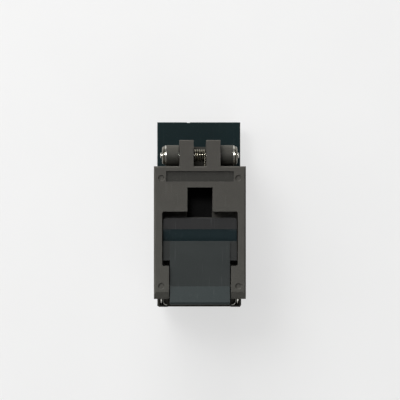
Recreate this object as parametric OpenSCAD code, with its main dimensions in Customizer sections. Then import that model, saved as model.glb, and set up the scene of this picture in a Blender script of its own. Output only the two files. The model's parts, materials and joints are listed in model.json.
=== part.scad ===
// Clamshell test socket for a small-outline chip: a base with two rows of spring contacts,
// a lid on a hinge shaft, and a latch plate in the lid that hooks a pin at the base's front.
// Millimetres. +Z is up from the board, X runs along the hinge shaft, +Y points to the hinge.
// The origin is on the board, under the middle of the base.

/* [Body] */
// Length of the base and the tail plate, latch end to hinge end
body_l = 40.8; // [40.4:0.1:50]
// Width of the base and the tail plate
base_w = 18.4; // [18.2:0.1:24]
// Height of the base rim above the board
base_top = 8; // [7.8:0.1:9.6]
// Thickness of the tail plate
plate_t = 1.6; // [1.2:0.1:1.9]
// Height of the wide lower step of the base
step_top = 4.6; // [4.2:0.1:5]
// How far the upper walls of the base stand in from the lower step
step_in = 0.6; // [0.4:0.1:0.7]

/* [Lid] */
// Thickness of the lid
lid_t = 5.5; // [5.3:0.1:7]
// Gap between the closed lid and the base rim
lid_gap = 0.3; // [0.2:0.05:0.5]
// How far each side of the lid stands out past the base
lid_overhang = 0.8; // [0.7:0.1:1.5]
// How far the front of the lid stays behind the front of the base
lid_setback = 2; // [1.8:0.1:2.2]
// Length of the two arms beside the latch tongue
arm_l = 7.2; // [6.6:0.1:8]
// Width of the wide bay for the latch head
bay_w = 16.5; // [16:0.1:17]
// Length of the wide bay
bay_l = 11.85; // [11:0.05:13]
// Width of the slot behind the bay
slot_w = 5.5; // [4.5:0.1:7]
// Length of the slot behind the bay
slot_l = 5.25; // [4.5:0.05:6]
// Thickness of the bay floor above the pusher
bay_floor_t = 0.8; // [0.6:0.1:1.2]

/* [Hinge] */
// Distance from the rear of the tail plate to the hinge axis
hinge_setback = 7.5; // [6.8:0.1:9]
// Depth of the hinge axis below the top of the lid
hinge_drop = 3.5; // [3.4:0.1:4]
// Diameter of the hinge, latch and catch pins
pin_d = 1.2; // [1:0.1:1.4]
// Radial clearance of a pin in a hole it turns in
pin_clear = 0.05; // [0.02:0.01:0.08]
// Outer radius of the round hinge barrels on the base
barrel_r = 2.25; // [1.9:0.05:2.35]
// Distance from the hinge axis to the square rear face of the lid ears
ear_reach = 3.3; // [3.1:0.1:3.4]
// Width of each lid ear
ear_w = 3.05; // [2.4:0.05:3.4]
// Clear width between the ears, where the spring sits
spring_bay = 2.82; // [2.6:0.02:3.4]
// Length of each barrel along the shaft
barrel_l = 2.7; // [2:0.05:3]

/* [Latch] */
// Side clearance of the latch in the lid
latch_clear = 0.22; // [0.15:0.01:0.3]
// Depth of the latch top below the top of the lid
latch_drop = 0.5; // [0.3:0.1:0.6]
// Thickness of the latch plate
latch_t = 1.7; // [1.5:0.1:1.8]
// Turn of the latch from just free of the catch pin to fully home under it, in degrees
home_turn = 4; // [3:0.5:4.5]

/* [Chip and contacts] */
// Contacts on each side
contacts = 14; // [8:1:14]
// Pitch of the contacts
pitch = 1.27; // [1:0.01:1.27]
// Distance from the middle of the chip to the middle of its lead feet
foot_x = 4.75; // [4.6:0.05:4.85]
// Height of the lead feet above the board
foot_z = 5.7; // [5.6:0.05:5.8]
// Thickness of the contact strip
strip_t = 0.35; // [0.25:0.05:0.4]
// Distance from the middle to the inner row of tails
tail_in = 5.2; // [5.15:0.05:5.4]
// Distance from the middle to the outer row of tails
tail_out = 6.9; // [6.6:0.05:6.95]
// Length of the tails below the board face
tail_l = 3.2; // [2.4:0.1:4]

/* [Hidden] */
CONTACTS = [for (i = [1:2 * contacts]) str("contact_", i < 10 ? "0" : "", i)];

$fn = 48;
eps = 0.01;
big = 100;

// ends of the body and heights of the stack
front_y = -body_l / 2;
rear_y = body_l / 2;
lid_z0 = base_top + lid_gap;
lid_z1 = lid_z0 + lid_t;
lid_w = base_w + 2 * lid_overhang;
pin_r = pin_d / 2;
hole_r = pin_r + pin_clear;
press_clear = 0.02;
press_r = pin_r + press_clear;

// hinge
hinge_y = rear_y - hinge_setback;
hinge_z = lid_z1 - hinge_drop;
hinge_gap = 0.15;
swing_gap = 0.2;
neck_run_in = 0.5;
block_run_in = 1;
ear_x = spring_bay / 2;
ear_out = ear_x + ear_w;
barrel_gap = 0.15;
barrel_x = ear_out + barrel_gap;
barrel_out = barrel_x + barrel_l;
block_top = hinge_z - ear_reach - swing_gap;
ear_corner_r = 0.25;
cap_r = 2.2;
cap_t = 0.9;
cap_flange_t = 0.3;
cap_body_r = 2;
cap_round = cap_t / 2;
shaft_proud = 0.4;
tip_chamfer = 0.15;

// lid outline
lid_front = front_y + lid_setback;
lid_rear = hinge_y - barrel_r - hinge_gap;
bay_front = lid_front + arm_l;
bay_rear = bay_front + bay_l;
slot_rear = bay_rear + slot_l;
slot_run_in = 1.25;
slot_front = bay_rear - slot_run_in;
arm_ledge = 1.5;
throat_w = bay_w - 2 * arm_ledge;
bay_r = 0.4;
bevel_l = 1.55;
bevel_drop = 0.75;
top_chamfer = 0.35;
rear_chamfer = 0.25;
lower_chamfer = 0.3;
pusher_t = 0.8;
pusher_clear = 0.1;
floor_z = lid_z0 + pusher_t + bay_floor_t;
throat_open_l = 4.4;
floor_front = lid_front + throat_open_l;
skirt_clear = 0.3;
skirt_in = base_w / 2 - step_in + skirt_clear;
skirt_drop = 2.9;
skirt_front = 0.5;
skirt_front_foot = 1.1;
skirt_rear = 0.7;
skirt_rear_foot = 1.5;
label_w = 14.8;
label_l = 2.3;
label_setback = 1.05;
label_depth = 0.4;
mark_r = 0.6;
mark_depth = 0.12;
mark_x = (throat_w + lid_w) / 4;
mark_setback = 2.6;

// latch, drawn where it is just free of the catch pin
pivot_setback = 2.8;
pivot_depth = 2;
pivot_y = lid_front + pivot_setback;
pivot_z = lid_z1 - pivot_depth;
shaft_inset = 0.4;
pivot_boss_r = 1.5;
latch_top = lid_z1 - latch_drop;
latch_bottom = latch_top - latch_t;
head_w = bay_w - 2 * latch_clear;
tongue_w = throat_w - 2 * latch_clear;
head_clear = 1.35;
head_rear = bay_rear - head_clear;
head_corner_r = 0.9;
head_chamfer = 0.2;
head_l = 2.5;
groove_l = 2.6;
groove_depth = 0.7;
groove_start = 0.1;
shoulder_clear = 1.2;
shoulder_front = bay_front + shoulder_clear;
shoulder_drop = 0.2;
bend_setback = 2.75;
bend_y = lid_front + bend_setback;
lip_reach = 1.2;
lip_y = lid_front - lip_reach;
lip_rise = 0.4;
lip_r = 0.5;
leg_t = 0.85;

// catch pin and the hook that takes it
catch_setback = 0.6;
catch_depth = 2.15;
catch_y = lid_front + catch_setback;
catch_z = lid_z0 - catch_depth;
hook_play = 0.08;
hook_free = 0.1;
hook_reach = 1.6;
hook_bottom = catch_z - hook_reach;
hook_toe = 0.35;
barb_h = 0.25;
barb_top = 0.4;
throat_top = 0.3;
home_y = pivot_y + (catch_y - pivot_y) * cos(home_turn) + (catch_z - pivot_z) * sin(home_turn);
home_z = pivot_z + (catch_z - pivot_z) * cos(home_turn) - (catch_y - pivot_y) * sin(home_turn);
barb_y = catch_y - pin_r - hook_free;

// base
nest_setback = 18.9;
nest_y = front_y + nest_setback;
catch_bay_clear = 0.3;
wall_front = catch_y + pin_r + catch_bay_clear;
wall_setback = 3;
wall_rear = hinge_y - wall_setback;
wall_corner_r = 0.3;
step_half = base_w / 2;
wall_half = step_half - step_in;
corner_r = 0.6;
web_t = 0.8;
tongue_bay_clear = 0.4;
web_in = tongue_w / 2 + tongue_bay_clear;
web_out = web_in + web_t;
guard_t = 0.45;
guard_in = step_half - guard_t;
guard_drop = 0.8;
guard_top = base_top - guard_drop;
web_drop = 0.3;
web_top = base_top - web_drop;
web_setback = 0.8;
catch_bay_depth = 0.7;
bay_bottom = step_top - catch_bay_depth;
front_lip_t = 0.4;
front_lip_h = 1.2;
front_lip_top = step_top + front_lip_h;
rear_core_wall = 0.7;
rear_core_depth = 0.6;
peg_r = 0.8;
peg_l = 1.8;
peg_neck_r = 1.1;
peg_x = 6.5;
peg_front_inset = 2.6;
peg_rear_inset = 0.7;
peg_front_y = wall_front + peg_front_inset;
peg_rear_y = hinge_y - peg_rear_inset;
plate_chamfer = 0.2;
nick_x = -2.3;
nick_w = 0.7;
nick_depth = 0.12;
clip_wire = 0.3;
clip_lift = 0.02;
clip_r = web_top + clip_wire / 2 + clip_lift - catch_z;
pin_inset = 0.15;
clip_web_gap = 0.05;
clip_guard_gap = 0.2;
clip_in = web_out + clip_wire / 2 + clip_web_gap;
clip_out = guard_in - clip_wire / 2 - clip_guard_gap;
clip_bend = 0.85;
clip_reach = 1.15;

// nest, contacts and pusher
row_l = (contacts - 1) * pitch;
nest_half = 7.7;
nest_l = 19.8;
fit_gap = 0.1;
nest_floor_t = 1.6;
nest_floor = plate_t + nest_floor_t;
trough_l = 18.6;
trough_half = 5.3;
platform_half = 3.7;
platform_drop = 0.05;
platform_z = foot_z - platform_drop;
trough_drop = 0.7;
trough_z = foot_z - trough_drop;
slot_side_gap = 0.1;
web_x0 = 4.95;
web_x1 = 7.2;
web_h = 1.5;
arm_r = 1.35;
arm_w = 0.4;
nose_r = 0.25;
nose_rise = 0.15;
beam_top = foot_z - nose_rise;
arm_x = web_x1 - arm_r;
arm_z = beam_top - arm_r;
arm_gap = 0.2;
nose_gap = 0.2;
slot_end = 0.5;
tail_w = 0.4;
tail_point = 0.5;
tail_gap = 0.08;
blade_t = 0.8;
blade_inset = 0.5;
blade_in = foot_x - blade_inset;
blade_l = 17.4;
lead_t = 0.25;
blade_bottom = foot_z + lead_t;
blade_flare = 0.3;
blade_flare_h = 0.6;
tooth_gap = 0.5;
tooth_l = 0.9;
pusher_half = 5.35;
pusher_l = 18.2;
stud_r = 0.6;
stud_x = 4;
stud_y = 7.6;
stud_roof = 0.2;
stud_end_gap = 0.3;
core_x = 6.1;
core_w = 2;
core_rib = 0.8;
core_l = (pusher_l - core_rib) / 2;
core_depth = 0.5;
core_front = nest_y - pusher_l / 2;
core_rear = nest_y + pusher_l / 2;

// springs
coil_wire = 0.5;
coil_r = 1.25;
coil_turns = 4.25;
coil_pitch = 0.52;
leg_forward = 2;
leg_down = 1;
leg_hole_r = 0.35;
leg_wall = 0.35;
leg_play = 0.2;
leg_hole_l = 1.3;
spring_side_gap = 0.2;
lift_wire = 0.35;
lift_r = 1.1;
lift_turns = 4.5;
lift_x = 4.6;
lift_setback = 3.6;
lift_y = bay_front + lift_setback;
seat_depth = 0.3;
pocket_roof = 0.8;
pocket_r = 1.5;

// a rectangle between two corners with round corners
module round_rect(low, high, r) {
    translate([low.x + r, low.y]) square([high.x - low.x - 2 * r, high.y - low.y]);
    translate([low.x, low.y + r]) square([high.x - low.x, high.y - low.y - 2 * r]);
    for (x = [low.x + r, high.x - r], y = [low.y + r, high.y - r])
        translate([x, y]) circle(r);
}

// a block between two corners
module block(low, high) {
    translate(low) cube(high - low);
}

// the same block on both sides of the middle plane
module both_sides(low, high) {
    block(low, high);
    mirror([1, 0, 0]) block(low, high);
}

// a drawing in Y and Z, extruded across the part
module across(w) {
    rotate([90, 0, 90]) linear_extrude(w, center = true) children();
}

// a rod along X, centred
module rod_x(r, l) {
    rotate([0, 90, 0]) cylinder(r = r, h = l, center = true);
}

// a pin along X with chamfered ends
module chamfered_pin(r, l, c) {
    rotate([0, 90, 0]) {
        cylinder(r = r, h = l - 2 * c, center = true);
        for (s = [0, 1]) mirror([0, 0, s])
            translate([0, 0, l / 2 - c]) cylinder(r1 = r, r2 = r - c, h = c);
    }
}

// a round wire along a list of [point, outward direction] pairs
module wire(path, r, sides = 8) {
    n = len(path);
    function tangent(i) = let(
        d = path[min(i + 1, n - 1)][0] - path[max(i - 1, 0)][0]
    ) d / norm(d);
    points = [
        for (i = [0:n - 1], k = [0:sides - 1]) let(
            out = path[i][1],
            side = cross(tangent(i), out),
            a = 360 * k / sides
        ) path[i][0] + r * (cos(a) * out + sin(a) * side)
    ];
    walls = [
        for (i = [0:n - 2], k = [0:sides - 1]) let(
            a = i * sides + k,
            b = i * sides + (k + 1) % sides
        ) each [[a, a + sides, b + sides], [a, b + sides, b]]
    ];
    start = [for (k = [0:sides - 1]) k];
    end = [for (k = [sides - 1:-1:0]) (n - 1) * sides + k];
    polyhedron(points, concat(walls, [start, end]));
}

// points of a helix about Z, with straight legs at both ends
function helix(r, turns, rise, leg_a = 0, leg_b = 0, steps = 20) = let(
    n = ceil(turns * steps),
    at = function(t) [r * cos(360 * t), r * sin(360 * t), rise * t],
    out = function(t) [cos(360 * t), sin(360 * t), 0],
    along = function(t) [-sin(360 * t), cos(360 * t), 0]
) concat(
    leg_a > 0 ? [[at(0) - leg_a * along(0), out(0)]] : [],
    [for (i = [0:n]) [at(turns * i / n), out(turns * i / n)]],
    leg_b > 0 ? [[at(turns) + leg_b * along(turns), out(turns)]] : []
);

// ---- base ----

module base() {
    color([0.27, 0.27, 0.25])
    difference() {
        union() {
            base_step();
            base_walls();
            hinge_block();
            base_pegs();
        }
        nest_cavity();
        contact_slots();
        catch_bay();
        translate([0, hinge_y, hinge_z]) rod_x(hole_r, big);
        translate([0, catch_y, catch_z]) rod_x(hole_r, 2 * guard_in);
        translate([0, catch_y, catch_z]) rod_x(press_r, big);
    }
}

// the wide lower step, with the guards and webs that carry the catch pin
module base_step() {
    translate([0, 0, plate_t]) linear_extrude(step_top - plate_t)
        round_rect([-step_half, front_y], [step_half, wall_rear], corner_r);
    intersection() {
        translate([0, 0, plate_t]) linear_extrude(guard_top - plate_t)
            round_rect([-step_half, front_y], [step_half, wall_rear], corner_r);
        both_sides([guard_in, front_y, plate_t], [step_half, wall_front + eps, big]);
    }
    intersection() {
        translate([0, 0, plate_t]) linear_extrude(front_lip_top - plate_t)
            round_rect([-step_half, front_y], [step_half, wall_rear], corner_r);
        both_sides([web_in, front_y, plate_t], [step_half, front_y + front_lip_t, big]);
    }
    both_sides([web_in, front_y + web_setback, plate_t], [web_out, wall_front + eps, web_top]);
}

module base_walls() {
    translate([0, 0, plate_t]) linear_extrude(base_top - plate_t)
        round_rect([-wall_half, wall_front], [wall_half, wall_rear], wall_corner_r);
}

// the block under the hinge, with a round barrel on a pedestal at each side
module hinge_block() {
    difference() {
        both_sides(
            [0, wall_rear - block_run_in, plate_t],
            [barrel_out, hinge_y + barrel_r, block_top]
        );
        block(
            [-ear_x - spring_side_gap, hinge_y + coil_r + leg_hole_r + leg_wall, 0],
            [ear_x + spring_side_gap, big, big]
        );
        translate([-coil_pitch * coil_turns / 2, hinge_y + coil_r, block_top - leg_down - leg_play])
            cylinder(r = leg_hole_r, h = big);
        both_sides(
            [ear_x + rear_core_wall, hinge_y + barrel_r - rear_core_depth, plate_t + rear_core_wall],
            [barrel_x - rear_core_wall, big, block_top - rear_core_wall]
        );
    }
    for (s = [0, 1]) mirror([s, 0, 0]) {
        block(
            [barrel_x, hinge_y - barrel_r, plate_t],
            [barrel_out, hinge_y + barrel_r, hinge_z]
        );
        translate([barrel_x, hinge_y, hinge_z])
            rotate([0, 90, 0]) cylinder(r = barrel_r, h = barrel_l);
    }
}

// locating pegs that pass the tail plate and enter the board
module base_pegs() {
    for (p = [[-peg_x, peg_front_y], [peg_x, peg_rear_y]]) translate(p) {
        cylinder(r = peg_neck_r, h = plate_t + eps);
        translate([0, 0, -peg_l]) cylinder(r = peg_r, h = peg_l + eps);
    }
}

module nest_cavity() {
    block(
        [-nest_half - fit_gap, nest_y - nest_l / 2 - fit_gap, nest_floor],
        [nest_half + fit_gap, nest_y + nest_l / 2 + fit_gap, big]
    );
}

// two long slots in the floor that the contact webs stand in
module contact_slots() {
    both_sides(
        [web_x0 - arm_gap, nest_y - row_l / 2 - slot_end, 0],
        [web_x1 + arm_gap, nest_y + row_l / 2 + slot_end, nest_floor + eps]
    );
}

// the open front where the hook goes down, and the pockets for the rings
module catch_bay() {
    block([-web_in, front_y - 1, bay_bottom], [web_in, wall_front, big]);
    both_sides(
        [web_out, front_y + front_lip_t, bay_bottom],
        [guard_in, catch_y + clip_r + clip_wire, big]
    );
}

// ---- tail plate ----

module tail_plate() {
    color([0.13, 0.165, 0.165])
    difference() {
        intersection() {
            across(base_w) plate_side();
            rotate([90, 0, 0]) linear_extrude(body_l, center = true) plate_end();
        }
        for (p = [[-peg_x, peg_front_y], [peg_x, peg_rear_y]])
            translate([p.x, p.y, -1]) cylinder(r = peg_neck_r + pin_clear, h = plate_t + 2);
        translate([nick_x, rear_y, 0]) cube([nick_w, 2 * nick_depth, big], center = true);
        for (i = [0:contacts - 1], s = [-1, 1]) translate([
            s * (i % 2 == 0 ? tail_in : tail_out),
            nest_y - row_l / 2 + i * pitch
        ]) cube([tail_w + 2 * tail_gap, strip_t + 2 * tail_gap, big], center = true);
    }
}

module plate_side() {
    c = plate_chamfer;
    polygon([
        [front_y, 0], [rear_y, 0], [rear_y, plate_t - c],
        [rear_y - c, plate_t], [front_y + c, plate_t], [front_y, plate_t - c]
    ]);
}

module plate_end() {
    c = plate_chamfer;
    h = base_w / 2;
    polygon([
        [-h, 0], [h, 0], [h, plate_t - c], [h - c, plate_t], [c - h, plate_t], [-h, plate_t - c]
    ]);
}

// ---- nest ----

module ic_nest() {
    color([0.1, 0.1, 0.1])
    difference() {
        block(
            [-nest_half, nest_y - nest_l / 2, nest_floor],
            [nest_half, nest_y + nest_l / 2, base_top]
        );
        block(
            [-trough_half, nest_y - trough_l / 2, platform_z],
            [trough_half, nest_y + trough_l / 2, big]
        );
        both_sides(
            [platform_half, nest_y - trough_l / 2, trough_z],
            [trough_half, nest_y + trough_l / 2, big]
        );
        for (i = [0:contacts - 1], s = [0, 1]) mirror([s, 0, 0])
            contact_comb_slot(nest_y - row_l / 2 + i * pitch);
    }
}

// one slot of the comb, open below and into the trough
module contact_comb_slot(y) {
    h = strip_t / 2 + slot_side_gap;
    block(
        [foot_x - nose_r - arm_gap - nose_gap, y - h, 0],
        [web_x1 + arm_gap, y + h, beam_top + arm_gap]
    );
}

// ---- contacts ----

// the blank of one contact: nose, beam, round arm, web and tail
module contact_blank(tail_x) {
    translate([foot_x, foot_z - nose_r]) circle(nose_r);
    translate([foot_x - nose_r, beam_top - arm_w])
        square([arm_x - foot_x + nose_r, arm_w]);
    intersection() {
        difference() {
            translate([arm_x, arm_z]) circle(arm_r);
            translate([arm_x, arm_z]) circle(arm_r - arm_w);
        }
        translate([arm_x - eps, arm_z - 2 * arm_r]) square(4 * arm_r);
    }
    translate([web_x0, plate_t]) square([web_x1 - web_x0, web_h]);
    polygon([
        [tail_x - tail_w / 2, plate_t + eps],
        [tail_x - tail_w / 2, tail_point - tail_l],
        [tail_x - tail_w / 4, -tail_l],
        [tail_x + tail_w / 4, -tail_l],
        [tail_x + tail_w / 2, tail_point - tail_l],
        [tail_x + tail_w / 2, plate_t + eps]
    ]);
}

// contacts are numbered up the right side and back down the left
module contact(number) {
    right = number <= contacts;
    place = right ? number - 1 : 2 * contacts - number;
    color([0.83, 0.68, 0.35])
    translate([0, nest_y - row_l / 2 + place * pitch, 0])
        mirror([right ? 0 : 1, 0, 0])
            rotate([90, 0, 0]) linear_extrude(strip_t, center = true)
                contact_blank(place % 2 == 0 ? tail_in : tail_out);
}

// ---- lid ----

module lid() {
    color([0.29, 0.285, 0.27])
    difference() {
        union() {
            lid_plate();
            lid_skirts();
            lid_ears();
        }
        latch_bay();
        pusher_pocket();
        lid_cores();
        lid_marks();
        translate([0, hinge_y, hinge_z]) rod_x(hole_r, big);
        translate([0, pivot_y, pivot_z]) rod_x(press_r, big);
        translate([coil_pitch * coil_turns / 2, lid_rear + 1, hinge_z + coil_r])
            rotate([90, 0, 0]) cylinder(r = leg_hole_r, h = leg_forward + leg_hole_l);
    }
}

// the flat lid with its front bevel and its chamfered side edges
module lid_plate() {
    h = lid_w / 2;
    c = top_chamfer;
    intersection() {
        across(lid_w) polygon([
            [lid_front, lid_z0 + lower_chamfer], [lid_front + lower_chamfer, lid_z0],
            [lid_rear, lid_z0], [lid_rear, lid_z1 - rear_chamfer], [lid_rear - rear_chamfer, lid_z1],
            [lid_front + bevel_l, lid_z1], [lid_front, lid_z1 - bevel_drop]
        ]);
        rotate([90, 0, 0]) linear_extrude(big, center = true) polygon([
            [-h, lid_z0], [h, lid_z0], [h, lid_z1 - c], [h - c, lid_z1],
            [c - h, lid_z1], [-h, lid_z1 - c]
        ]);
    }
}

// side skirts that come down outside the base walls
module lid_skirts() {
    difference() {
        across(lid_w) polygon([
            [wall_front + skirt_front, lid_z0 + eps],
            [wall_front + skirt_front_foot, lid_z0 - skirt_drop],
            [lid_rear - skirt_rear_foot, lid_z0 - skirt_drop], [lid_rear - skirt_rear, lid_z0 + eps]
        ]);
        block([-skirt_in, -big, -big], [skirt_in, big, lid_z0]);
    }
}

// hinge ears: square above and behind, round below so that they clear the hinge block
module lid_ears() {
    neck = hinge_y - lid_rear + neck_run_in;
    for (s = [0, 1]) mirror([s, 0, 0])
        translate([ear_x + ear_w / 2, hinge_y, hinge_z]) across(ear_w) {
            intersection() {
                circle(ear_reach);
                translate([-neck, -big]) square([big, big + eps]);
            }
            round_rect([-neck, 0], [ear_reach, hinge_drop], ear_corner_r);
            translate([-neck, 0]) square([neck, hinge_drop]);
            square([ear_reach, ear_corner_r + eps]);
        }
}

// the bay for the latch head, the throat for its tongue and the slot behind
module latch_bay() {
    h = bay_w / 2;
    translate([0, 0, floor_z]) linear_extrude(big)
        round_rect([-h, bay_front], [h, bay_rear], bay_r);
    block([-throat_w / 2, lid_front - 1, floor_z], [throat_w / 2, bay_front + 1, big]);
    block([-throat_w / 2, lid_front - 1, 0], [throat_w / 2, floor_front, big]);
    block([-slot_w / 2, slot_front, 0], [slot_w / 2, slot_rear, big]);
    for (s = [-1, 1]) translate([s * lift_x, lift_y, floor_z - seat_depth])
        cylinder(r = pocket_r, h = big);
}

module pusher_pocket() {
    block(
        [-pusher_half - pusher_clear, nest_y - pusher_l / 2 - pusher_clear, 0],
        [pusher_half + pusher_clear, nest_y + pusher_l / 2 + pusher_clear, lid_z0 + pusher_t]
    );
    for (x = [-stud_x, stud_x], y = [-stud_y, stud_y])
        translate([x, nest_y + y, 0]) cylinder(r = stud_r + pin_clear, h = floor_z - stud_roof);
}

// shallow pockets that core the lid out beside the pusher
module lid_cores() {
    for (y = [core_front, core_rear - core_l]) both_sides(
        [core_x, y, 0],
        [core_x + core_w, y + core_l, lid_z0 + core_depth]
    );
}

// the shallow label field and the four round ejector marks
module lid_marks() {
    y1 = lid_rear - label_setback;
    block([-label_w / 2, y1 - label_l, lid_z1 - label_depth], [label_w / 2, y1, big]);
    for (s = [-1, 1], y = [lid_rear - mark_setback, pivot_y])
        translate([s * mark_x, y, lid_z1 - mark_depth]) cylinder(r = mark_r, h = 1);
}

// ---- pusher ----

module pusher() {
    color([0.12, 0.12, 0.12])
    difference() {
        union() {
            block(
                [-pusher_half, nest_y - pusher_l / 2, lid_z0],
                [pusher_half, nest_y + pusher_l / 2, lid_z0 + pusher_t]
            );
            for (s = [0, 1]) mirror([s, 0, 0]) pusher_blade();
            for (x = [-stud_x, stud_x], y = [-stud_y, stud_y])
                translate([x, nest_y + y, lid_z0]) cylinder(r = stud_r, h = floor_z - lid_z0 - stud_end_gap);
        }
        block([-slot_w / 2, slot_front, 0], [slot_w / 2, slot_rear, big]);
        for (i = [0:contacts]) translate([0, nest_y - row_l / 2 + (i - 0.5) * pitch, blade_bottom])
            cube([big, tooth_gap, 2 * tooth_l], center = true);
    }
}

// a blade that presses one row of leads, tapered and cut into teeth, one for each lead
module pusher_blade() {
    x0 = blade_in;
    x1 = blade_in + blade_t;
    translate([0, nest_y, 0]) rotate([90, 0, 0]) linear_extrude(blade_l, center = true)
        polygon([
            [x0 - blade_flare, lid_z0 + eps], [x0, lid_z0 - blade_flare_h], [x0, blade_bottom],
            [x1, blade_bottom], [x1, lid_z0 + eps]
        ]);
}

// ---- latch ----

module latch() {
    color([0.205, 0.215, 0.22])
    difference() {
        union() {
            across(tongue_w) tongue_side();
            latch_head();
        }
        across(big) groove_side();
        translate([0, pivot_y, pivot_z]) rod_x(hole_r, big);
        for (s = [-1, 1]) translate([s * lift_x, lift_y, 0])
            cylinder(r = pocket_r, h = latch_top - pocket_roof);
    }
}

// side view of the tongue: plate, pivot boss, raised lip and hook
module tongue_side() {
    difference() {
        union() {
            polygon([
                [head_rear - 1, latch_bottom], [head_rear - 1, latch_top],
                [bend_y, latch_top], [lip_y + lip_r, latch_top + lip_rise],
                [lip_y + lip_r, latch_bottom - 0.6], [pivot_y, pivot_z - pivot_boss_r],
                [pivot_y + pivot_boss_r, pivot_z - 0.4]
            ]);
            translate([pivot_y, pivot_z]) circle(pivot_boss_r);
            translate([lip_y + lip_r, latch_top + lip_rise - lip_r]) circle(lip_r);
            hook_leg();
        }
        translate([home_y, home_z]) circle(pin_r + hook_play);
    }
}

// the finger groove: it starts at the head and falls to a step at the tongue
module groove_side() {
    rear = head_rear - head_l;
    polygon([
        [rear, latch_top + 1], [rear, latch_top - groove_start],
        [rear - groove_l, latch_top - groove_depth], [rear - groove_l, latch_top + 1]
    ]);
}

module hook_leg() {
    polygon([
        [lip_y, latch_top + lip_rise - lip_r], [lip_y, hook_bottom],
        [lip_y + hook_toe, hook_bottom], [barb_y, home_z - pin_r - hook_play - barb_h],
        [barb_y, home_z - barb_top], [lip_y + leg_t, home_z + throat_top],
        [lip_y + leg_t, latch_bottom - 0.9], [lip_y + leg_t + 0.8, latch_bottom + 0.2],
        [lip_y + leg_t, latch_top]
    ]);
}

// the wide head and shoulders, round at the rear corners
module latch_head() {
    h = head_w / 2;
    intersection() {
        translate([0, 0, latch_bottom]) linear_extrude(latch_t) union() {
            round_rect([-h, shoulder_front], [h, head_rear], head_corner_r);
            translate([-h, shoulder_front]) square([head_w, 2]);
        }
        across(head_w) polygon([
            [shoulder_front, latch_bottom], [head_rear, latch_bottom],
            [head_rear, latch_top - head_chamfer], [head_rear - head_chamfer, latch_top],
            [head_rear - head_l, latch_top], [head_rear - head_l, latch_top - shoulder_drop],
            [shoulder_front, latch_top - shoulder_drop]
        ]);
    }
}

// ---- shafts, caps and clips ----

module hinge_shaft() {
    color([0.78, 0.78, 0.76])
    translate([0, hinge_y, hinge_z])
        chamfered_pin(pin_r, 2 * (barrel_out + cap_t + shaft_proud), tip_chamfer);
}

// a push-on cap against the end of a barrel: a flange, and a dished body with a round outer corner
module hinge_cap(side) {
    color([0.8, 0.8, 0.78])
    translate([side * barrel_out, hinge_y, hinge_z])
        rotate([0, side * 90, 0]) rotate_extrude() {
            translate([press_r, 0]) square([cap_r - press_r, cap_flange_t]);
            translate([press_r, 0]) square([cap_body_r - cap_round - press_r, cap_t]);
            translate([cap_body_r - cap_round, cap_t - cap_round]) circle(cap_round);
        }
}

module hinge_cap_left() {
    hinge_cap(-1);
}

module hinge_cap_right() {
    hinge_cap(1);
}

module latch_shaft() {
    color([0.78, 0.78, 0.76])
    translate([0, pivot_y, pivot_z]) chamfered_pin(pin_r, lid_w - 2 * shaft_inset, tip_chamfer);
}

module catch_pin() {
    color([0.78, 0.78, 0.76])
    translate([0, catch_y, catch_z])
        chamfered_pin(pin_r, 2 * (step_half - pin_inset), tip_chamfer);
}

// the wire of a clip: a turn round the pin, then a tail that lies along the top of the web
// and bends inwards at its front
function clip_path(steps = 24, bend_steps = 6) = let(
    shift = function(t) clip_out - (clip_out - clip_in) * max(0, 2 * t - 1),
    bend_y = catch_y - clip_reach
) concat(
    [for (i = [-2:steps]) let(t = i / steps, a = 90 + 360 * t) [
        [shift(t), catch_y + clip_r * cos(a), catch_z + clip_r * sin(a)], [0, cos(a), sin(a)]
    ]],
    [for (i = [0:bend_steps]) let(a = 90 * i / bend_steps) [
        [clip_in - clip_bend * (1 - cos(a)), bend_y - clip_bend * sin(a), catch_z + clip_r],
        [0, 0, 1]
    ]]
);

// a spring wire clip on the end of the catch pin
module catch_ring(side) {
    color([0.8, 0.8, 0.78])
    mirror([side < 0 ? 1 : 0, 0, 0]) wire(clip_path(), clip_wire / 2);
}

module catch_ring_left() {
    catch_ring(-1);
}

module catch_ring_right() {
    catch_ring(1);
}

// ---- springs ----

// torsion spring on the hinge shaft: one leg down on the base, one forward in the lid
module hinge_spring() {
    color([0.75, 0.72, 0.62])
    translate([-coil_pitch * coil_turns / 2, hinge_y, hinge_z])
        rotate([0, 90, 0]) rotate([0, 0, 90])
            wire(
                helix(
                    coil_r, coil_turns, coil_pitch,
                    hinge_z - block_top + leg_down, hinge_y - lid_rear + leg_forward
                ),
                coil_wire / 2
            );
}

// a lift spring between the bay floor and the latch
module latch_spring(side) {
    low = floor_z - seat_depth + lift_wire / 2;
    high = latch_top - pocket_roof - lift_wire / 2;
    color([0.75, 0.72, 0.62])
    translate([side * lift_x, lift_y, low])
        wire(helix(lift_r, lift_turns, (high - low) / lift_turns, steps = 16), lift_wire / 2, 6);
}

module latch_spring_left() {
    latch_spring(-1);
}

module latch_spring_right() {
    latch_spring(1);
}

base();
tail_plate();
ic_nest();
lid();
pusher();
latch();
hinge_shaft();
hinge_cap_left();
hinge_cap_right();
hinge_spring();
latch_shaft();
latch_spring_left();
latch_spring_right();
catch_pin();
catch_ring_left();
catch_ring_right();
for (i = [1:2 * contacts])
    contact(i);
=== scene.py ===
"""Clamshell test socket: finishes, springs, floor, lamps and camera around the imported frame.

Metres. +Z is up from the board, X runs along the hinge shaft, +Y points to the hinge end.
"""

import json
import math

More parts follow.
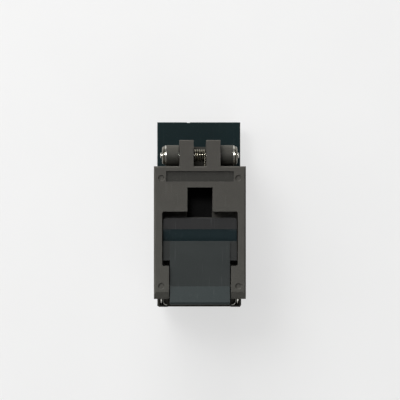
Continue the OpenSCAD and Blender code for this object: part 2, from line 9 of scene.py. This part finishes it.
import bpy
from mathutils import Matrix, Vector


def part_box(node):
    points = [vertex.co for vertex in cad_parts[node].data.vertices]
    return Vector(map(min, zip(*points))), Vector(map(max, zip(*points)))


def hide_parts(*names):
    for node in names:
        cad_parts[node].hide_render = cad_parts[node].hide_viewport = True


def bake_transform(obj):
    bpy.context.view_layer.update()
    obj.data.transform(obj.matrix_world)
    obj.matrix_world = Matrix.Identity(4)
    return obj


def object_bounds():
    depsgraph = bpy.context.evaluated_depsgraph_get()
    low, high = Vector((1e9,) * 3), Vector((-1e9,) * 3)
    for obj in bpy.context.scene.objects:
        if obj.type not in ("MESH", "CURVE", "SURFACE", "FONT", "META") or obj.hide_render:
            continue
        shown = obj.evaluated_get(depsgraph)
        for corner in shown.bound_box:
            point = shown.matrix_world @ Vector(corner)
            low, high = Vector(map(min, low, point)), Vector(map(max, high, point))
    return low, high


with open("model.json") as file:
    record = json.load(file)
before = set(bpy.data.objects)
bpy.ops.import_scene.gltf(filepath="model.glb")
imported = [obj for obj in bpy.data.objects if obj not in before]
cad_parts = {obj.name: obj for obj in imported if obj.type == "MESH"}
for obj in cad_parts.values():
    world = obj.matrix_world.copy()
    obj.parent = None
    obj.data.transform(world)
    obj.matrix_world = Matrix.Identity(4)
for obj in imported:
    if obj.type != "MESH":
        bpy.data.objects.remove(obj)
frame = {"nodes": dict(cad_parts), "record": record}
cad_low, cad_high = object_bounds()
nodes = frame["nodes"]
MM = 0.001


# ---- node helpers ----


def feed(tree, socket, value):
    """Links a socket to the input, or writes a plain value in it."""
    if isinstance(value, bpy.types.NodeSocket):
        tree.links.new(value, socket)
    elif socket.type == "RGBA":
        socket.default_value = (*value, 1.0)
    else:
        socket.default_value = value


def add(tree, kind, inputs=None, **settings):
    """A new node with its settings and inputs."""
    node = tree.nodes.new(kind)
    for name, value in settings.items():
        setattr(node, name, value)
    for key, value in (inputs or {}).items():
        feed(tree, node.inputs[key], value)
    return node


def maths(tree, operation, a, b=0.0, clamp=False):
    node = add(tree, "ShaderNodeMath", {0: a, 1: b}, operation=operation, use_clamp=clamp)
    return node.outputs[0]


def remap(tree, value, low, high, to_low=0.0, to_high=1.0, smooth=False):
    kind = "SMOOTHSTEP" if smooth else "LINEAR"
    inputs = {"Value": value, "From Min": low, "From Max": high, "To Min": to_low, "To Max": to_high}
    return add(tree, "ShaderNodeMapRange", inputs, interpolation_type=kind).outputs["Result"]


def mixed(tree, share, a, b, blend="MIX"):
    """Two colours, mixed."""
    node = add(tree, "ShaderNodeMix", data_type="RGBA", blend_type=blend)
    for index, value in ((0, share), (6, a), (7, b)):
        feed(tree, node.inputs[index], value)
    return node.outputs[2]


def scaled(tree, colour, factor):
    """A colour times a factor."""
    return add(tree, "ShaderNodeVectorMath", {0: colour, "Scale": factor}, operation="SCALE").outputs[0]


def vector(tree, x=0.0, y=0.0, z=0.0):
    return add(tree, "ShaderNodeCombineXYZ", {"X": x, "Y": y, "Z": z}).outputs[0]


def length(tree, point):
    return add(tree, "ShaderNodeVectorMath", {0: point}, operation="LENGTH").outputs["Value"]


def place(tree):
    """A point's own place on the part, in metres."""
    return add(tree, "ShaderNodeTexCoord").outputs["Object"]


def stretched(tree, point, scale, turn=(0, 0, 0)):
    """A point turned and scaled, axis by axis."""
    inputs = {"Vector": point, "Scale": scale, "Rotation": turn}
    return add(tree, "ShaderNodeMapping", inputs).outputs["Vector"]


def noise(tree, point, scale, detail=2.0, rough=0.5, warp=0.0):
    inputs = {"Vector": point, "Scale": scale, "Detail": detail, "Roughness": rough, "Distortion": warp}
    return add(tree, "ShaderNodeTexNoise", inputs).outputs["Fac"]


def new_group(name, inputs, outputs):
    """An empty shader node group: its tree, its incoming sockets and its output node."""
    tree = bpy.data.node_groups.new(name, "ShaderNodeTree")
    for label, kind, default in inputs:
        socket = tree.interface.new_socket(label, in_out="INPUT", socket_type=kind)
        socket.default_value = (*default, 1.0) if kind == COLOUR else default
    for label, kind in outputs:
        tree.interface.new_socket(label, in_out="OUTPUT", socket_type=kind)
    taken = tree.nodes.new("NodeGroupInput").outputs
    given = tree.nodes.new("NodeGroupOutput").inputs
    return tree, taken, given


def use(tree, group, **inputs):
    """A group placed in a material, with its own values. Returns its outputs."""
    node = tree.nodes.new("ShaderNodeGroup")
    node.node_tree = group
    for name, value in inputs.items():
        feed(tree, node.inputs[name.replace("_", " ").capitalize()], value)
    return node.outputs


COLOUR = "NodeSocketColor"
NUMBER = "NodeSocketFloat"


# ---- shared effects ----


def make_edge_wear_and_glint():
    """A mask that rises on outer edges, broken up by noise: worn edges on the plastics, painted highlights on
    the caps' edges.
    """
    inputs = [("Radius", NUMBER, 0.0001), ("Breakup", NUMBER, 900.0)]
    tree, taken, given = new_group("Edge wear and glint", inputs, [("Mask", NUMBER)])
    rounded = add(tree, "ShaderNodeBevel", {"Radius": taken["Radius"]}, samples=4).outputs["Normal"]
    flat = add(tree, "ShaderNodeNewGeometry").outputs["Normal"]
    along = add(tree, "ShaderNodeVectorMath", {0: rounded, 1: flat}, operation="DOT_PRODUCT").outputs["Value"]
    edge = remap(tree, along, 0.995, 0.86, smooth=True)
    patchy = remap(tree, noise(tree, place(tree), taken["Breakup"], 3.0), 0.35, 0.65, 0.35, 1.0)
    feed(tree, given["Mask"], maths(tree, "MULTIPLY", edge, patchy, clamp=True))
    return tree


def make_mottle():
    """Slow and fine changes of shade, around 0, as in a filled moulding."""
    inputs = [("Cloud size", NUMBER, 300.0), ("Grain size", NUMBER, 4500.0), ("Share of grain", NUMBER, 0.4)]
    tree, taken, given = new_group("Mottle", inputs, [("Shade", NUMBER), ("Grain", NUMBER)])
    point = place(tree)
    cloud = remap(tree, noise(tree, point, taken["Cloud size"], 4.0, 0.6, 0.4), 0.3, 0.7, -1.0, 1.0)
    grain = remap(tree, noise(tree, point, taken["Grain size"], 2.0, 0.6), 0.3, 0.7, -1.0, 1.0)
    fine = maths(tree, "MULTIPLY", grain, taken["Share of grain"])
    rest = maths(tree, "SUBTRACT", 1.0, taken["Share of grain"])
    feed(tree, given["Shade"], maths(tree, "ADD", maths(tree, "MULTIPLY", cloud, rest), fine))
    feed(tree, given["Grain"], grain)
    return tree


def make_scratches():
    """Thin broken lines that run one way."""
    inputs = [
        ("Across", NUMBER, 2600.0), ("Along", NUMBER, 90.0), ("Turn", NUMBER, 0.0), ("Amount", NUMBER, 0.3),
    ]
    tree, taken, given = new_group("Scratches", inputs, [("Mask", NUMBER)])
    turn = vector(tree, z=taken["Turn"])
    size = vector(tree, taken["Across"], taken["Along"], taken["Across"])
    lines = noise(tree, stretched(tree, place(tree), size, turn), 1.0, 2.0, 0.4, 0.2)
    where = remap(tree, noise(tree, place(tree), 220.0, 2.0), 0.45, 0.62)
    thin = remap(tree, lines, 0.66, 0.72)
    mask = maths(tree, "MULTIPLY", maths(tree, "MULTIPLY", thin, where), taken["Amount"])
    feed(tree, given["Mask"], mask)
    return tree


def make_specks():
    """Small pale specks: ends of glass fibre and dust."""
    inputs = [("Size", NUMBER, 3200.0), ("Amount", NUMBER, 0.3)]
    tree, taken, given = new_group("Specks", inputs, [("Mask", NUMBER)])
    cells = {"Vector": place(tree), "Scale": taken["Size"], "Randomness": 1.0}
    cell = add(tree, "ShaderNodeTexVoronoi", cells)
    near = remap(tree, cell.outputs["Distance"], 0.26, 0.1)
    lot = add(tree, "ShaderNodeSeparateColor", {0: cell.outputs["Color"]}).outputs[0]
    chosen = maths(tree, "GREATER_THAN", lot, 0.86)
    mask = maths(tree, "MULTIPLY", maths(tree, "MULTIPLY", near, chosen), taken["Amount"])
    feed(tree, given["Mask"], mask)
    return tree


def make_moulding():
    """Colour, roughness and relief of a moulded plastic."""
    inputs = [
        ("Colour", COLOUR, (0.1, 0.1, 0.1)), ("Worn colour", COLOUR, (0.2, 0.2, 0.2)),
        ("Contrast", NUMBER, 0.1), ("Grain size", NUMBER, 4500.0), ("Cloud size", NUMBER, 300.0),
        ("Edge radius", NUMBER, 0.0001), ("Edge share", NUMBER, 0.5), ("Speck share", NUMBER, 0.2),
        ("Scratch share", NUMBER, 0.2), ("Roughness", NUMBER, 0.5),
    ]
    outputs = [("Colour", COLOUR), ("Roughness", NUMBER), ("Height", NUMBER)]
    tree, taken, given = new_group("Moulding", inputs, outputs)
    mottle = use(tree, MOTTLE, cloud_size=taken["Cloud size"], grain_size=taken["Grain size"])
    shade = maths(tree, "ADD", maths(tree, "MULTIPLY", mottle["Shade"], taken["Contrast"]), 1.0)
    body = scaled(tree, taken["Colour"], shade)
    worn = use(tree, EDGE_WEAR_AND_GLINT, radius=taken["Edge radius"])["Mask"]
    edge = maths(tree, "MULTIPLY", worn, taken["Edge share"])
    scratch = use(tree, SCRATCHES, turn=0.5, amount=taken["Scratch share"])["Mask"]
    cross = use(tree, SCRATCHES, turn=-1.1, across=3100.0, amount=taken["Scratch share"])["Mask"]
    speck = use(tree, SPECKS, amount=taken["Speck share"])["Mask"]
    lines = maths(tree, "MAXIMUM", scratch, cross)
    wear = maths(tree, "MAXIMUM", edge, maths(tree, "MAXIMUM", lines, speck))
    feed(tree, given["Colour"], mixed(tree, wear, body, taken["Worn colour"]))
    soft = maths(tree, "MULTIPLY", mottle["Shade"], 0.06)
    polish = maths(tree, "MULTIPLY", edge, 0.12)
    dull = maths(tree, "SUBTRACT", maths(tree, "ADD", taken["Roughness"], soft), polish)
    feed(tree, given["Roughness"], maths(tree, "MAXIMUM", dull, 0.05))
    dent = maths(tree, "MULTIPLY", lines, 2.0)
    feed(tree, given["Height"], maths(tree, "SUBTRACT", mottle["Grain"], dent))
    return tree


def make_metal_finish():
    """Colour, roughness and relief of a bare or plated metal with fine tool marks along one direction."""
    inputs = [
        ("Colour", COLOUR, (0.6, 0.6, 0.6)), ("Dark colour", COLOUR, (0.3, 0.3, 0.3)),
        ("Lines x", NUMBER, 9000.0), ("Lines y", NUMBER, 300.0), ("Lines z", NUMBER, 300.0),
        ("Stain", NUMBER, 0.3), ("Roughness", NUMBER, 0.25),
    ]
    outputs = [("Colour", COLOUR), ("Roughness", NUMBER), ("Height", NUMBER)]
    tree, taken, given = new_group("Metal finish", inputs, outputs)
    size = vector(tree, taken["Lines x"], taken["Lines y"], taken["Lines z"])
    lines = noise(tree, stretched(tree, place(tree), size), 1.0, 2.0, 0.6)
    stain = remap(tree, noise(tree, place(tree), 1100.0, 4.0, 0.6, 0.6), 0.42, 0.7)
    share = maths(tree, "MULTIPLY", stain, taken["Stain"])
    tint = mixed(tree, share, taken["Colour"], taken["Dark colour"])
    shade = remap(tree, lines, 0.3, 0.7, 0.9, 1.08)
    feed(tree, given["Colour"], scaled(tree, tint, shade))
    rough = maths(tree, "ADD", taken["Roughness"], remap(tree, lines, 0.3, 0.7, -0.06, 0.06))
    feed(tree, given["Roughness"], maths(tree, "ADD", rough, maths(tree, "MULTIPLY", share, 0.3)))
    feed(tree, given["Height"], lines)
    return tree


EDGE_WEAR_AND_GLINT = make_edge_wear_and_glint()
MOTTLE = make_mottle()
SCRATCHES = make_scratches()
SPECKS = make_specks()
MOULDING = make_moulding()
METAL_FINISH = make_metal_finish()


# ---- materials ----


def new_material(name, specular=0.5):
    """A material with a bare Principled shader, and its tree."""
    material = bpy.data.materials.new(name)
    material.use_nodes = True
    tree = material.node_tree
    tree.nodes.clear()
    shader = tree.nodes.new("ShaderNodeBsdfPrincipled")
    out = tree.nodes.new("ShaderNodeOutputMaterial")
    tree.links.new(shader.outputs["BSDF"], out.inputs["Surface"])
    shader.inputs["Specular IOR Level"].default_value = specular
    return material, tree, shader


def finish_shader(tree, shader, effect, strength, distance):
    """Feeds an effect's colour, roughness and relief to the shader."""
    feed(tree, shader.inputs["Base Color"], effect["Colour"])
    feed(tree, shader.inputs["Roughness"], effect["Roughness"])
    bump = {"Height": effect["Height"], "Strength": strength, "Distance": distance}
    feed(tree, shader.inputs["Normal"], add(tree, "ShaderNodeBump", bump).outputs["Normal"])


def band(tree, coordinate, low, high, soft=0.06 * MM):
    """1 between low and high along a coordinate, with soft ends."""
    rise = remap(tree, coordinate, low - soft, low + soft)
    fall = remap(tree, coordinate, high + soft, high - soft)
    return maths(tree, "MULTIPLY", rise, fall)


def axes(tree):
    return add(tree, "ShaderNodeSeparateXYZ", {0: place(tree)}).outputs


def painted_label_shade(tree, high):
    """1 on the floor of the shallow label field at the hinge end of the lid, where it is painted darker as
    shade.
    """
    where = axes(tree)
    half_width, soft = 7.4 * MM, 0.05 * MM
    rear, field = high.y - 6.1 * MM, 3.05 * MM
    rim, floor = high.z - 0.1 * MM, high.z - 0.3 * MM
    across = remap(tree, maths(tree, "ABSOLUTE", where["X"]), half_width + soft, half_width - soft)
    along = band(tree, where["Y"], rear - field, rear)
    sunk = remap(tree, where["Z"], rim, floor)
    return maths(tree, "MULTIPLY", maths(tree, "MULTIPLY", across, along), sunk)


def mark_dish(tree, low, high):
    """Rises from 0 inside each round ejector mark of the lid to 1 outside it."""
    where = axes(tree)
    side, front, rear = high.x - 1.62 * MM, low.y + 2.8 * MM, high.y - 8.3 * MM
    inner, outer = 0.46 * MM, 0.74 * MM
    across = maths(tree, "SUBTRACT", maths(tree, "ABSOLUTE", where["X"]), side)
    nearest = 1.0
    for centre in (front, rear):
        along = maths(tree, "SUBTRACT", where["Y"], centre)
        nearest = maths(tree, "MINIMUM", nearest, length(tree, vector(tree, across, along)))
    return remap(tree, nearest, inner, outer, smooth=True)


def make_lid_plastic():
    material, tree, shader = new_material("lid_plastic", 0.1)
    low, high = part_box("lid")
    y = axes(tree)["Y"]
    # the lid's colour is a little darker toward the hinge end
    from_hinge = remap(tree, y, high.y, low.y)
    tone = mixed(tree, from_hinge, (0.064, 0.0605, 0.054), (0.073, 0.0715, 0.063))
    # painted shade: the label field's floor is darkened for the shade in its shallow recess
    tone = mixed(tree, painted_label_shade(tree, high), tone, (0.04, 0.039, 0.035))
    effect = use(
        tree, MOULDING, colour=tone, worn_colour=(0.17, 0.165, 0.15), contrast=0.09,
        edge_radius=0.12 * MM, edge_share=0.28, speck_share=0.25, scratch_share=0.14, roughness=0.55,
    )
    finish_shader(tree, shader, effect, 0.35, 0.02 * MM)
    grain = shader.inputs["Normal"].links[0].from_socket
    bump = {"Height": mark_dish(tree, low, high), "Strength": 1.0, "Distance": 0.22 * MM, "Normal": grain}
    feed(tree, shader.inputs["Normal"], add(tree, "ShaderNodeBump", bump).outputs["Normal"])
    return material


def make_base_plastic():
    material, tree, shader = new_material("base_plastic", 0.1)
    effect = use(
        tree, MOULDING, colour=(0.0505, 0.049, 0.0425), worn_colour=(0.16, 0.155, 0.14), contrast=0.1,
        edge_radius=0.12 * MM, edge_share=0.32, speck_share=0.25, scratch_share=0.1, roughness=0.55,
    )
    finish_shader(tree, shader, effect, 0.35, 0.02 * MM)
    return material


def make_plate_plastic():
    material, tree, shader = new_material("plate_plastic", 0.05)
    effect = use(
        tree, MOULDING, colour=(0.0062, 0.0148, 0.0165), worn_colour=(0.06, 0.068, 0.07), contrast=0.14,
        cloud_size=190.0, edge_radius=0.14 * MM, edge_share=0.5, speck_share=0.3, scratch_share=0.12,
        roughness=0.42,
    )
    finish_shader(tree, shader, effect, 0.3, 0.015 * MM)
    return material


def make_nest_plastic():
    material, tree, shader = new_material("nest_plastic", 0.05)
    # near-black: the nest's own black, made darker still as painted shade for the deep slot it sits in
    effect = use(
        tree, MOULDING, colour=(0.0055, 0.0055, 0.0055), worn_colour=(0.04, 0.04, 0.04), contrast=0.2,
        edge_radius=0.08 * MM, edge_share=0.3, speck_share=0.25, scratch_share=0.05, roughness=0.5,
    )
    finish_shader(tree, shader, effect, 0.3, 0.015 * MM)
    return material


def pale_line_along_y(tree, x):
    """A thin broken line along Y at one X."""
    point = stretched(tree, place(tree), (400.0, 900.0, 400.0))
    broken = remap(tree, noise(tree, point, 1.0, 2.0), 0.4, 0.6)
    half, soft = 0.04 * MM, 0.03 * MM
    return maths(tree, "MULTIPLY", band(tree, axes(tree)["X"], x - half, x + half, soft), broken)


def make_latch_plastic():
    material, tree, shader = new_material("latch_plastic", 0.1)
    low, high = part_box("latch")
    where = axes(tree)
    y = where["Y"]
    soft = 0.1 * MM
    head_front, groove_front = high.y - 2.5 * MM, high.y - 5.1 * MM
    lip_rear, tongue_side, pale_line_x = low.y + 3.95 * MM, high.x - 1.5 * MM, 3.05 * MM
    groove_shade = band(tree, y, groove_front, head_front)
    head = remap(tree, y, head_front - soft, head_front + soft)
    lip_sheen = remap(tree, y, lip_rear + soft, lip_rear - soft)
    off_middle = maths(tree, "ABSOLUTE", where["X"])
    wing_shade = remap(tree, off_middle, tongue_side - soft / 2, tongue_side + soft / 2)
    # painted shade: the wings are a little darker than the tongue, for the less light they take
    tone = mixed(tree, wing_shade, (0.0345, 0.0395, 0.039), (0.032, 0.0335, 0.0325))
    # painted shade: the head is painted darker than the tongue
    tone = mixed(tree, head, tone, (0.0255, 0.0255, 0.0258))
    # painted shade and reflection: the groove is dark and bluish
    tone = mixed(tree, groove_shade, tone, (0.0155, 0.0275, 0.031))
    # painted sheen: the lip is bluer where it tilts up toward the light
    tone = mixed(tree, lip_sheen, tone, (0.0315, 0.0405, 0.0408))
    fade = remap(tree, y, low.y + 6.5 * MM, low.y + 3.0 * MM, 0.0, 0.45)
    line = maths(tree, "MULTIPLY", pale_line_along_y(tree, pale_line_x), fade)
    tone = mixed(tree, line, tone, (0.11, 0.12, 0.12))
    effect = use(
        tree, MOULDING, colour=tone, worn_colour=(0.12, 0.125, 0.125), contrast=0.07, cloud_size=160.0,
        edge_radius=0.1 * MM, edge_share=0.35, speck_share=0.2, scratch_share=0.16, roughness=0.4,
    )
    finish_shader(tree, shader, effect, 0.2, 0.012 * MM)
    return material


def make_metal(name, colour, dark, lines, stain, roughness):
    """A plain metal. lines is how fine its tool marks are along X, Y and Z."""
    material, tree, shader = new_material(name)
    shader.inputs["Metallic"].default_value = 1.0
    effect = use(
        tree, METAL_FINISH, colour=colour, dark_colour=dark, lines_x=lines[0], lines_y=lines[1],
        lines_z=lines[2], stain=stain, roughness=roughness,
    )
    finish_shader(tree, shader, effect, 0.2, 0.01 * MM)
    return material


def make_cap_metal():
    """Plated caps: a bright flange against the barrel, painted dark outside it for a chrome cap's dark
    reflections, with painted highlights on the edges.
    """
    material, tree, shader = new_material("plated_cap")
    shader.inputs["Metallic"].default_value = 1.0
    flange_t = 0.3 * MM
    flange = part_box("hinge_cap_right")[0].x + flange_t
    out = maths(tree, "ABSOLUTE", axes(tree)["X"])
    painted_dark_dome = remap(tree, out, flange - 0.03 * MM, flange + 0.05 * MM)
    rim = use(tree, EDGE_WEAR_AND_GLINT, radius=0.1 * MM)["Mask"]
    # painted reflection: the cap outside the flange is darkened for the dark surroundings it reflects
    tint = mixed(tree, painted_dark_dome, (0.7, 0.69, 0.63), (0.23, 0.22, 0.185))
    # painted highlight: the cap's edges are tinted bright
    tint = mixed(tree, rim, tint, (0.72, 0.71, 0.66))
    effect = use(
        tree, METAL_FINISH, colour=tint, dark_colour=(0.12, 0.11, 0.085), lines_x=5200, lines_y=500,
        lines_z=500, stain=0.45, roughness=0.24,
    )
    finish_shader(tree, shader, effect, 0.25, 0.01 * MM)
    return material


FINISHES = {
    "lid_plastic": make_lid_plastic(),
    "base_plastic": make_base_plastic(),
    "plate_plastic": make_plate_plastic(),
    "nest_plastic": make_nest_plastic(),
    "latch_plastic": make_latch_plastic(),
    "plated_cap": make_cap_metal(),
    "dark_steel": make_metal(
        "dark_steel", (0.1, 0.097, 0.09), (0.03, 0.028, 0.024), (9000, 400, 400), stain=0.4, roughness=0.42,
    ),
    "steel": make_metal(
        "steel", (0.58, 0.57, 0.53), (0.25, 0.23, 0.19), (9000, 400, 400), stain=0.35, roughness=0.26,
    ),
    "bright_steel": make_metal(
        "bright_steel", (0.66, 0.65, 0.6), (0.3, 0.28, 0.23), (500, 3000, 3000), stain=0.3, roughness=0.2,
    ),
    "spring_wire": make_metal(
        "spring_wire", (0.36, 0.34, 0.275), (0.1, 0.085, 0.06), (600, 2500, 2500), stain=0.45, roughness=0.22,
    ),
    "gold_plate": make_metal(
        "gold_plate", (0.86, 0.63, 0.27), (0.5, 0.33, 0.12), (400, 400, 3500), stain=0.3, roughness=0.22,
    ),
}


def finish_nodes():
    """Every CAD node takes the finish of its record slot. The caps and the two hidden pins have their own."""
    # painted shade: latch_shaft and catch_pin show only through narrow gaps and get a dark steel, so those
    # gaps read dark
    own = {
        "hinge_cap_left": "plated_cap", "hinge_cap_right": "plated_cap",
        "latch_shaft": "dark_steel", "catch_pin": "dark_steel",
    }
    for part in frame["record"]["subparts"]:
        piece = nodes[part["node"]]
        piece.data.materials.clear()
        piece.data.materials.append(FINISHES[own.get(part["node"], part["material_slot"])])


finish_nodes()


# ---- springs ----


def wire_mesh(name, path, radius, sides=12):
    """A round wire along a list of points, with rounded ends, as one closed mesh."""
    points = [Vector(p) for p in path]
    last = len(points) - 1
    tangents = [(points[min(i + 1, last)] - points[max(i - 1, 0)]).normalized() for i in range(last + 1)]
    side = tangents[0].orthogonal().normalized()
    rings = []
    ends = [(-0.9, 0.45), (-0.5, 0.85)]
    for reach, size in ends:
        rings.append((points[0] + tangents[0] * radius * reach, tangents[0], size))
    rings += [(point, tangent, 1.0) for point, tangent in zip(points, tangents)]
    for reach, size in reversed(ends):
        rings.append((points[-1] - tangents[-1] * radius * reach, tangents[-1], size))
    vertices, faces = [], []
    for centre, tangent, size in rings:
        side = (side - tangent * side.dot(tangent)).normalized()
        other = tangent.cross(side)
        for k in range(sides):
            a = 2 * math.pi * k / sides
            vertices.append(centre + (side * math.cos(a) + other * math.sin(a)) * radius * size)
    for i in range(len(rings) - 1):
        for k in range(sides):
            a, b = i * sides + k, i * sides + (k + 1) % sides
            faces.append((a, b, b + sides, a + sides))
    faces.append(tuple(range(sides - 1, -1, -1)))
    faces.append(tuple(range((len(rings) - 1) * sides, len(rings) * sides)))
    mesh = bpy.data.meshes.new(name)
    mesh.from_pydata(vertices, [], faces)
    mesh.validate()
    piece = bpy.data.objects.new(name, mesh)
    bpy.context.scene.collection.objects.link(piece)
    for face in mesh.polygons:
        face.use_smooth = len(face.vertices) == 4
    piece.data.materials.append(FINISHES["spring_wire"])
    return piece


def make_torsion_spring():
    """The coil round the hinge shaft: one leg goes down into the base, the other forward into the lid."""
    low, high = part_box("hinge_spring")
    shaft_low, shaft_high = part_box("hinge_shaft")
    axis_y = (shaft_low.y + shaft_high.y) / 2
    axis_z = (shaft_low.z + shaft_high.z) / 2
    wire, inset = 0.25 * MM, 0.12 * MM
    coil = high.y - wire - axis_y - inset
    turns, steps, down_steps, forward_steps = 4.25, 200, 6, 8
    x0, x1 = low.x + wire, high.x - wire
    depth = axis_z - low.z
    path = [(x0, axis_y + coil, axis_z - depth * (1 - k / down_steps)) for k in range(down_steps)]
    for k in range(steps + 1):
        t = turns * k / steps
        a = 2 * math.pi * t
        path.append((x0 + (x1 - x0) * k / steps, axis_y + coil * math.cos(a), axis_z + coil * math.sin(a)))
    forward = axis_y - low.y
    for k in range(1, forward_steps + 1):
        path.append((x1, axis_y - forward * k / forward_steps, axis_z + coil))
    piece = wire_mesh("torsion_spring", path, wire)
    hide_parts("hinge_spring")
    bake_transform(piece)


def make_lift_spring(node, name):
    """One of the two coils that lift the latch head off the lid's bay floor."""
    low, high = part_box(node)
    centre = (low + high) / 2
    wire = 0.175 * MM
    coil = (high.x - low.x) / 2 - wire
    turns, steps = 4.5, 180
    z0, z1 = low.z + wire, high.z - wire
    path = []
    for k in range(steps + 1):
        share = k / steps
        a = 2 * math.pi * turns * share
        path.append((centre.x + coil * math.cos(a), centre.y + coil * math.sin(a), z0 + (z1 - z0) * share))
    piece = wire_mesh(name, path, wire, sides=10)
    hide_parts(node)
    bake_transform(piece)


make_torsion_spring()
make_lift_spring("latch_spring_left", "lift_spring_left")
make_lift_spring("latch_spring_right", "lift_spring_right")


# ---- floor, lamps and camera ----


def seen_rays(tree):
    """1 for what the eye sees straight, in a mirror or through glass, and 0 for soft light."""
    ray = add(tree, "ShaderNodeLightPath").outputs
    seen = maths(tree, "MAXIMUM", ray["Is Camera Ray"], ray["Is Glossy Ray"])
    return maths(tree, "MAXIMUM", seen, ray["Is Transmission Ray"])


def make_paper():
    """Pale paper that shows part of its own plain colour where it is seen, so its shadows stay light.

    Far from the part, past the lamps' reach, it shows that colour alone.
    """
    near, far, plain_share = 0.08, 0.5, 0.68
    material, tree, shader = new_material("floor_paper", 0.1)
    shader.inputs["Roughness"].default_value = 0.8
    tone = mixed(tree, noise(tree, place(tree), 60.0, 3.0), (0.865, 0.865, 0.862), (0.885, 0.885, 0.882))
    feed(tree, shader.inputs["Base Color"], tone)
    plain = add(tree, "ShaderNodeEmission", {"Color": tone}).outputs[0]
    away = remap(tree, length(tree, place(tree)), near, far, plain_share, 1.0, smooth=True)
    share = maths(tree, "MULTIPLY", seen_rays(tree), away)
    blend = add(tree, "ShaderNodeMixShader", {0: share, 1: shader.outputs["BSDF"], 2: plain}).outputs[0]
    out = next(node for node in tree.nodes if node.type == "OUTPUT_MATERIAL")
    tree.links.new(blend, out.inputs["Surface"])
    return material


def make_floor():
    """A wide sheet of paper under the tails."""
    mesh = bpy.data.meshes.new("floor")
    reach = 1.6
    z = cad_low.z
    corners = [(-reach, -reach, z), (reach, -reach, z), (reach, reach, z), (-reach, reach, z)]
    mesh.from_pydata(corners, [], [(0, 1, 2, 3)])
    floor = bpy.data.objects.new("floor", mesh)
    bpy.context.scene.collection.objects.link(floor)
    mesh.materials.append(make_paper())


def make_world(light, horizon):
    """Lights the part evenly with light. Where it is seen, it shows a pale horizon under a dim top."""
    world = bpy.data.worlds.new("studio")
    world.use_nodes = True
    tree = world.node_tree
    direction = add(tree, "ShaderNodeTexCoord").outputs["Generated"]
    height = add(tree, "ShaderNodeSeparateXYZ", {0: direction}).outputs["Z"]
    shown = remap(tree, height, 0.02, 0.3, horizon, light, smooth=True)
    extra = maths(tree, "MULTIPLY", seen_rays(tree), maths(tree, "SUBTRACT", shown, light))
    background = tree.nodes["Background"]
    background.inputs["Color"].default_value = (1, 1, 1, 1)
    feed(tree, background.inputs["Strength"], maths(tree, "ADD", extra, light))
    bpy.context.scene.world = world


def make_lamp(name, toward, distance, size, level, glints=False):
    """A soft square lamp on the line toward, aimed at the part.

    level is what it adds to a white face turned to it. A lamp lights either the colour of a
    surface or, with glints, only its shine.
    """
    centre = (cad_low + cad_high) / 2
    direction = Vector(toward).normalized()
    data = bpy.data.lights.new(name, "AREA")
    data.shape = "SQUARE"
    data.size = size
    data.energy = level * math.pi**2 * distance**2
    lamp = bpy.data.objects.new(name, data)
    lamp.location = centre + direction * distance
    lamp.rotation_mode = "QUATERNION"
    lamp.rotation_quaternion = direction.to_track_quat("Z", "Y")
    lamp.visible_glossy = glints
    lamp.visible_diffuse = not glints
    bpy.context.scene.collection.objects.link(lamp)


def make_camera():
    """Looks straight down on the closed lid, with the hinge end at the top of the picture."""
    data = bpy.data.cameras.new("camera")
    distance, width, tilt, ahead = 0.6, 0.087, math.radians(1.25), 3.15 * MM
    data.lens = data.sensor_width * distance / width
    data.clip_start, data.clip_end = 0.01, 10
    camera = bpy.data.objects.new("camera", data)
    aim = Vector((0, ahead, cad_high.z))
    back = Vector((-math.sin(tilt), 0, math.cos(tilt)))
    camera.location = aim + back * distance
    camera.rotation_euler = (0, -tilt, 0)
    bpy.context.scene.collection.objects.link(camera)
    bpy.context.scene.camera = camera


make_floor()
make_world(light=0.14, horizon=0.86)
make_lamp("key", (-0.6, 0.7, 1.1), 0.6, 0.25, 0.42)
make_lamp("rear_left", (-0.7, 0.85, 0.5), 0.6, 0.35, 0.32)
make_lamp("rear", (-0.15, 1.0, 0.2), 0.6, 0.35, 1.3)
make_lamp("left", (-1.0, 0.15, 0.5), 0.6, 0.35, 0.25)
make_lamp("fill", (0.4, -1.0, 0.7), 0.7, 0.5, 0.22)
make_lamp("window", (-0.15, 0.36, 1.0), 0.6, 0.12, 0.55, glints=True)
make_lamp("front_window", (0.6, -1.0, 0.4), 0.6, 0.3, 0.2, glints=True)
make_camera()
bpy.context.scene.view_settings.view_transform = "Standard"
